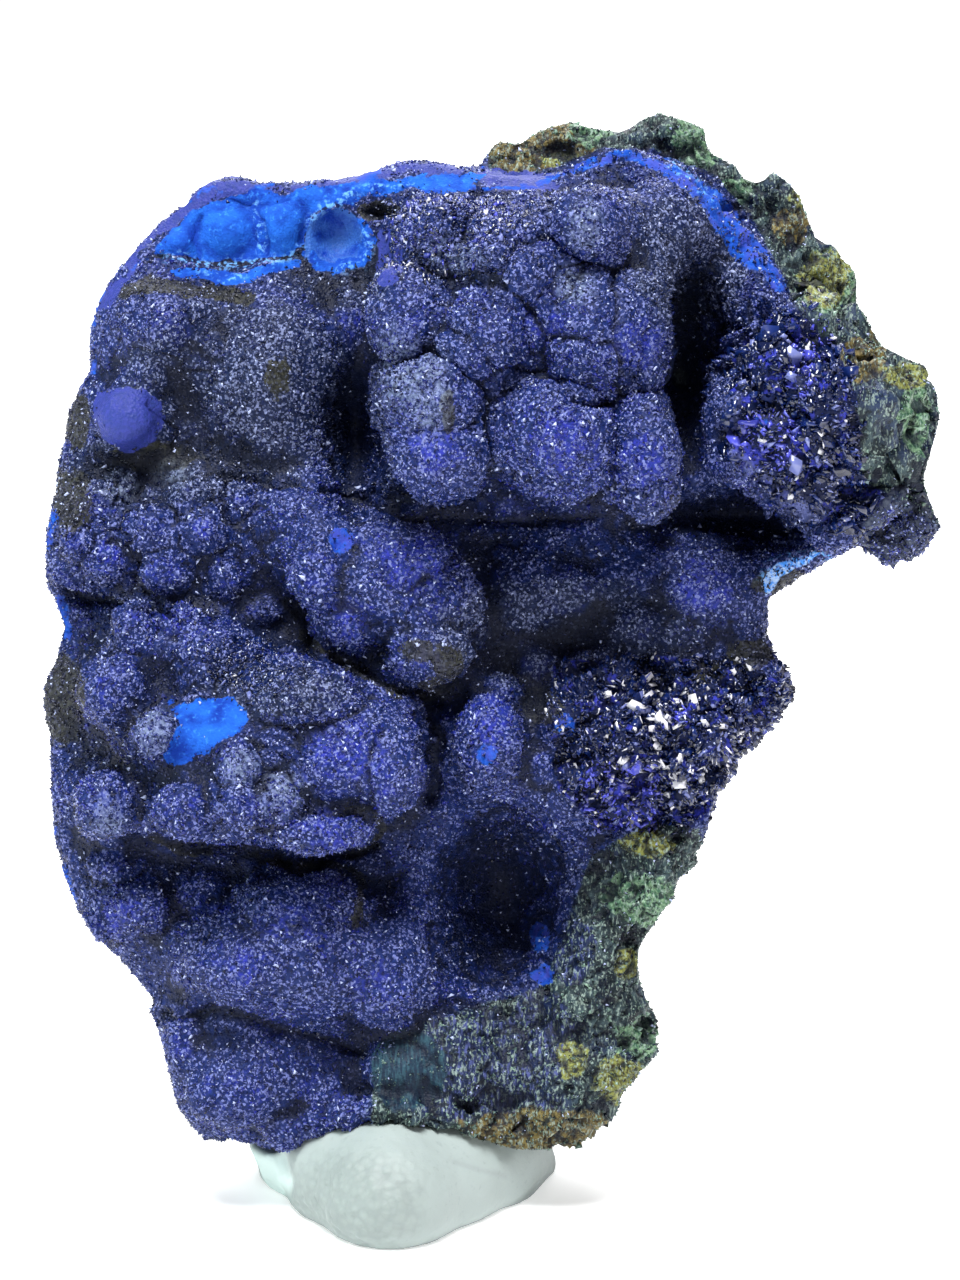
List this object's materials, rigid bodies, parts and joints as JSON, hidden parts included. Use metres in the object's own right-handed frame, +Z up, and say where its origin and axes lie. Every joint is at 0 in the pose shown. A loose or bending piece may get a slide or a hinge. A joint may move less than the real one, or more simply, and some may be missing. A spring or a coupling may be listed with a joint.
{
  "type": "azurite specimen",
  "caption": "Upright azurite crust with knobbly, drusy growths on green and brown matrix, leaning back slightly in a pressed lump of grey mineral putty with a flat underside.",
  "frame": {"origin": "middle of the whole object's box, on the surface that it stands on", "axes": "+Z up, the specimen's face looks towards -Y and slightly up, +X to the viewer's right"},
  "size_m": [0.0646, 0.0396, 0.0754],
  "materials": {
    "azurite": "drusy crystal crust",
    "putty": "matt, finger pressed"
  },
  "bodies": {
    "root": {"azurite_specimen": "azurite", "putty_foot": "putty"}
  },
  "joints": []
}
